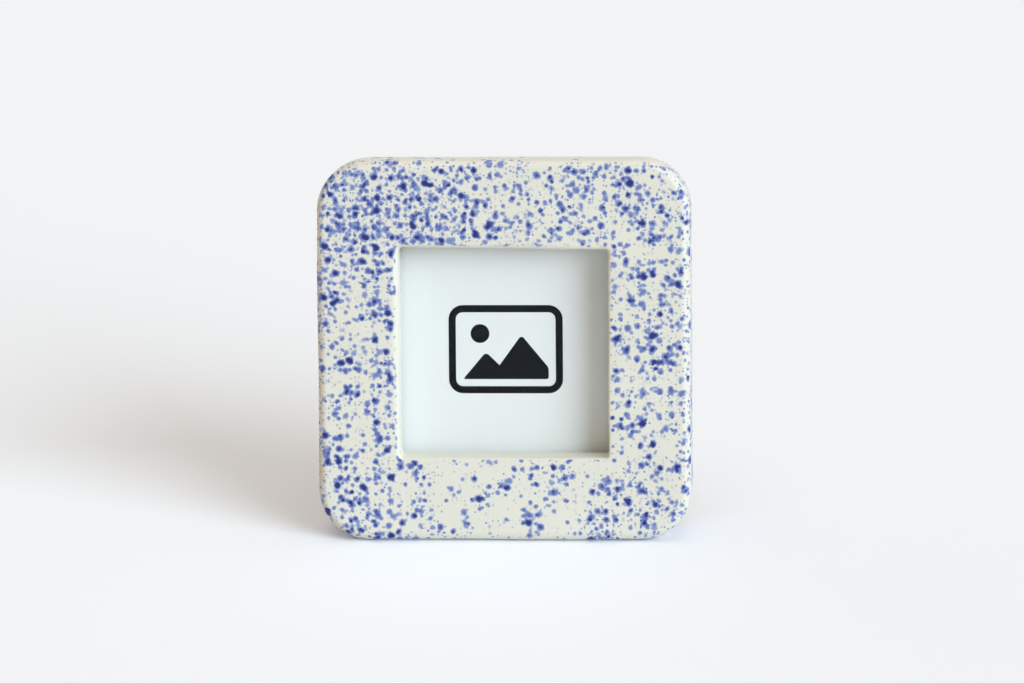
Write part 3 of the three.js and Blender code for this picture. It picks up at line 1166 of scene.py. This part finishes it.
def splatter_reach(spot):
    """How much of the splatter reached a spot: all of it but in the window's recess, whose walls
    stood along the droplets' flight, and in the rebate behind it."""
    in_rebate = inset(spot, REBATE_WIDTH, REBATE_HEIGHT, REBATE_CORNER, WINDOW_CENTRE)
    if spot.y > REBATE_FRONT - BESIDE and in_rebate > -BESIDE:
        return 0
    in_window = inset(spot, WINDOW_WIDTH, WINDOW_HEIGHT, WINDOW_CORNER, WINDOW_CENTRE)
    return clamped((-in_window / WINDOW_EDGE - SPLATTER_STARTS) / SPLATTER_GROWS)


def eased(node, finish, radius):
    """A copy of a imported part, with its flat faces whole again and its sharp edges eased."""
    mesh = bmesh.new()
    mesh.from_mesh(frame["nodes"][node].data)
    bmesh.ops.scale(mesh, vec=(1 / MM, 1 / MM, 1 / MM), verts=mesh.verts)
    bmesh.ops.remove_doubles(mesh, verts=mesh.verts, dist=SAME_POINT)
    bmesh.ops.dissolve_limit(mesh, angle_limit=FLAT_ANGLE, verts=mesh.verts, edges=mesh.edges)
    sharp = [e for e in mesh.edges if e.calc_face_angle(0) > SHARP_ANGLE]
    rounded_off(mesh, sharp, "EDGES", radius, EASED_STEPS, clamp_overlap=True)
    piece = finished(mesh, node + "_eased", Matrix.Scale(MM, 4), finish)
    flat_faces = piece.modifiers.new("flat_faces", "WEIGHTED_NORMAL")
    flat_faces.keep_sharp = True
    flat_faces.weight = 90
    return piece


def card_print():
    """A plain picture sign on the card: a round-cornered border, a sun and two hills."""
    mesh = bmesh.new()
    depth = CARD_FRONT - INK_LIFT
    border = outline(mesh, *SIGN_OUTSIDE, WINDOW_CENTRE, depth)
    inside = outline(mesh, *SIGN_INSIDE, WINDOW_CENTRE, depth)
    bmesh.ops.bridge_loops(mesh, edges=border + inside)
    sun_x, sun_z = SUN_PLACE
    sun = Matrix.Translation((sun_x, depth, WINDOW_CENTRE + sun_z))
    bmesh.ops.create_circle(
        mesh,
        cap_ends=True,
        segments=SUN_STEPS,
        radius=SUN_RADIUS,
        matrix=sun @ Matrix.Rotation(math.pi / 2, 4, "X"),
    )
    hills = [mesh.verts.new((x, depth, WINDOW_CENTRE + z)) for x, z in HILLS]
    mesh.faces.new(hills)
    rounded_off(mesh, [hills[1], hills[3]], "VERTICES", HILLTOP_ROUND, EDGE_STEPS)
    rounded_off(mesh, [hills[0], *hills[4:]], "VERTICES", HILL_FOOT_ROUND, EDGE_STEPS)
    bmesh.ops.recalc_face_normals(mesh, faces=mesh.faces)
    bmesh.ops.solidify(mesh, geom=mesh.faces[:], thickness=INK_THICKNESS)
    bmesh.ops.recalc_face_normals(mesh, faces=mesh.faces)
    return finished(mesh, "card_print", FRAME_PLACE, finishes["card_print"])


def ribbon_line():
    """The ribbon's line in the frame's YZ plane: down the back board, across to the open strut
    and up along it."""
    board_y = BODY_DEPTH + RIBBON_GAP + RIBBON_THICKNESS / 2
    strut_y = STRUT_FRONT - RIBBON_GAP - RIBBON_THICKNESS / 2
    board_z = PIN_Z - RIBBON_BOARD_DROP
    pin = Vector((0, PIN_Y, PIN_Z))
    turn = Matrix.Rotation(OPEN_ANGLE, 3, "X")
    return [
        Vector((0, board_y, board_z + RIBBON_TAB)),
        Vector((0, board_y, board_z)),
        pin + turn @ Vector((0, strut_y, -RIBBON_STRUT_DROP)),
        pin + turn @ Vector((0, strut_y, RIBBON_TAB - RIBBON_STRUT_DROP)),
    ]


def rounded_line(points, radius):
    """A line through the points, with each bend rounded off."""
    line = [points[0]]
    for before, bend, after in zip(points, points[1:], points[2:]):
        start = bend + (before - bend).normalized() * radius
        end = bend + (after - bend).normalized() * radius
        line += interpolate_bezier(start, bend, bend, end, EDGE_STEPS)
    return line + [points[-1]]


def satin_ribbon():
    """The ribbon stay, drawn tight between the back board and the strut."""
    mesh = bmesh.new()
    line = rounded_line(ribbon_line(), RIBBON_BEND)
    half = Vector((RIBBON_WIDTH / 2, 0, 0))
    row = [mesh.verts.new(line[0] - half), mesh.verts.new(line[0] + half)]
    edge = mesh.edges.new(row)
    reach = {row[0]: 0.0, row[1]: 0.0}
    length = 0.0
    for here, there in zip(line, line[1:]):
        length += (there - here).length
        swept = bmesh.ops.extrude_edge_only(mesh, edges=[edge])["geom"]
        row = [g for g in swept if isinstance(g, bmesh.types.BMVert)]
        edge = next(e for e in row[0].link_edges if e.other_vert(row[0]) is row[1])
        bmesh.ops.translate(mesh, verts=row, vec=there - here)
        reach.update({v: length for v in row})
    weave = mesh.loops.layers.uv.new("weave")
    for face in mesh.faces:
        for corner in face.loops:
            corner[weave].uv = (corner.vert.co.x, reach[corner.vert])
    piece = finished(mesh, "satin_ribbon", FRAME_PLACE, finishes["ribbon_stay"], crease=80)
    thicken = piece.modifiers.new("thickness", "SOLIDIFY")
    thicken.thickness = RIBBON_THICKNESS * MM
    thicken.offset = 0
    return piece


# How far each kind of part has its edges eased, in mm
EASED_EDGES = {
    "glass_pane": 0.2,
    "picture_card": 0.05,
    "packing_board": 0.3,
    "back_board": 0.4,
    "strut": 0.5,
    "turn_button": 0.3,
    "button_screw": 0.12,
    "screw_plug": 0.15,
    "hinge_leaf": 0.15,
    "hinge_pin": 0.25,
    "fixed_leaf_rivet": 0.1,
    "moving_leaf_rivet": 0.1,
    "ribbon_rivet": 0.1,
}

for node in frame["nodes"]:
    for kind, radius in EASED_EDGES.items():
        if node.startswith(kind):
            finish = finishes.get(node) or finishes[slot_of[node]]
            piece = eased(node, finish, radius)
            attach(piece, body_of[node])
            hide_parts(node)

body = ceramic_body()
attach(body, "frame")
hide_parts("ceramic_frame")

sign = card_print()
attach(sign, "frame")

ribbon = satin_ribbon()
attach(ribbon, "frame")
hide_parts("ribbon_stay")
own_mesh(ribbon)


# Studio


def backdrop_rays(tree):
    """1 for rays that show the backdrop: from the camera, and through glass or off a gloss."""
    path = add(tree, "LightPath", {})
    mirrored = add(
        tree,
        "Math",
        {0: path.outputs["Is Glossy Ray"], 1: path.outputs["Is Transmission Ray"]},
        operation="MAXIMUM",
    )
    seen = add(
        tree,
        "Math",
        {0: path.outputs["Is Camera Ray"], 1: mirrored.outputs["Value"]},
        operation="MAXIMUM",
    )
    return seen.outputs["Value"]


def studio_floor():
    """A wide pale floor that fills the view and keeps the frame's shadow."""
    made, tree = new_material("white_table")
    lift = add(tree, "Math", {0: backdrop_rays(tree), 1: FLOOR_LIFT}, operation="MULTIPLY")
    shader = add(
        tree,
        "BsdfPrincipled",
        {
            "Base Color": linear("#f4f8ff"),
            "Roughness": 0.9,
            "Specular IOR Level": 0.1,
            "Emission Color": linear("#e8f2ff"),
            "Emission Strength": lift.outputs["Value"],
        },
    )
    add(tree, "OutputMaterial", {"Surface": shader.outputs["BSDF"]})
    mesh = bmesh.new()
    bmesh.ops.create_grid(mesh, x_segments=4, y_segments=4, size=FLOOR_REACH)
    bmesh.ops.translate(mesh, verts=mesh.verts, vec=(0, 0, -FLOOR_GAP))
    floor = finished(mesh, "floor", Matrix.Identity(4), made)


def studio_world():
    """Warm fill from all round, and plain white where the backdrop shows."""
    world = bpy.data.worlds.new("studio")
    bpy.context.scene.world = world
    world.use_nodes = True
    tree = world.node_tree
    tree.nodes.clear()
    fill = add(tree, "Background", {"Color": linear("#ffe2b8"), "Strength": FILL_LEVEL})
    white = add(tree, "Background", {"Color": linear("#ffffff"), "Strength": 1.0})
    shown = add(
        tree,
        "MixShader",
        {0: backdrop_rays(tree), 1: fill.outputs["Background"], 2: white.outputs["Background"]},
    )
    add(tree, "OutputWorld", {"Surface": shown.outputs["Shader"]})


def direction(azimuth, elevation):
    """From the frame towards a point that far to the right of its front and above the floor."""
    across, up = math.radians(azimuth), math.radians(elevation)
    return Vector(
        (math.sin(across) * math.cos(up), -math.cos(across) * math.cos(up), math.sin(up))
    )


def soft_lamp(name, towards, spread, power, colour):
    """Light from this direction, spread over so many degrees."""
    lamp = bpy.data.lights.new(name, "SUN")
    lamp.angle = math.radians(spread)
    lamp.energy = power
    lamp.color = linear(colour)[:3]
    hung = bpy.data.objects.new(name, lamp)
    bpy.context.scene.collection.objects.link(hung)
    hung.location = face_centre + towards
    hung.rotation_mode = "QUATERNION"
    hung.rotation_quaternion = (-towards).to_track_quat("-Z", "Y")


def photo_camera():
    """A camera that sees the frame as the photograph does, with the frame's foot level in view."""
    data = bpy.data.cameras.new("camera")
    camera = bpy.data.objects.new("camera", data)
    bpy.context.scene.collection.objects.link(camera)
    bpy.context.scene.camera = camera
    mm_per_px = BODY_WIDTH / FRAME_WIDTH_PX
    data.sensor_width = SENSOR_WIDTH
    data.lens = SENSOR_WIDTH * CAMERA_DISTANCE / MM / mm_per_px / PHOTO_WIDTH
    data.clip_start = NEAREST
    towards = direction(CAMERA_AZIMUTH, CAMERA_ELEVATION)
    right = (Vector((1, 0, 0)) - towards * towards.x).normalized()
    turn = Matrix((right, towards.cross(right), towards)).transposed().to_quaternion()
    right_px = PHOTO_WIDTH / 2 - FRAME_CENTRE_PX[0]
    up_px = FRAME_CENTRE_PX[1] - PHOTO_HEIGHT / 2
    aim = face_centre + turn @ Vector((right_px, up_px, 0)) * mm_per_px * MM
    camera.rotation_mode = "QUATERNION"
    camera.rotation_quaternion = turn
    camera.location = aim + towards * CAMERA_DISTANCE


face_centre = FRAME_PLACE @ Vector((0, 0, BODY_HEIGHT / 2))
studio_floor()
studio_world()
window_side = direction(KEY_AZIMUTH, KEY_ELEVATION)
soft_lamp("window", window_side, KEY_SPREAD, KEY_POWER, "#e5f2fa")
soft_lamp("ceiling", Vector((0, 0, 1)), CEILING_SPREAD, CEILING_POWER, "#ffffff")
bounce_side = direction(BOUNCE_AZIMUTH, BOUNCE_ELEVATION)
soft_lamp("bounce", bounce_side, BOUNCE_SPREAD, BOUNCE_POWER, "#fff0dc")
photo_camera()
bpy.context.scene.view_settings.view_transform = "Standard"
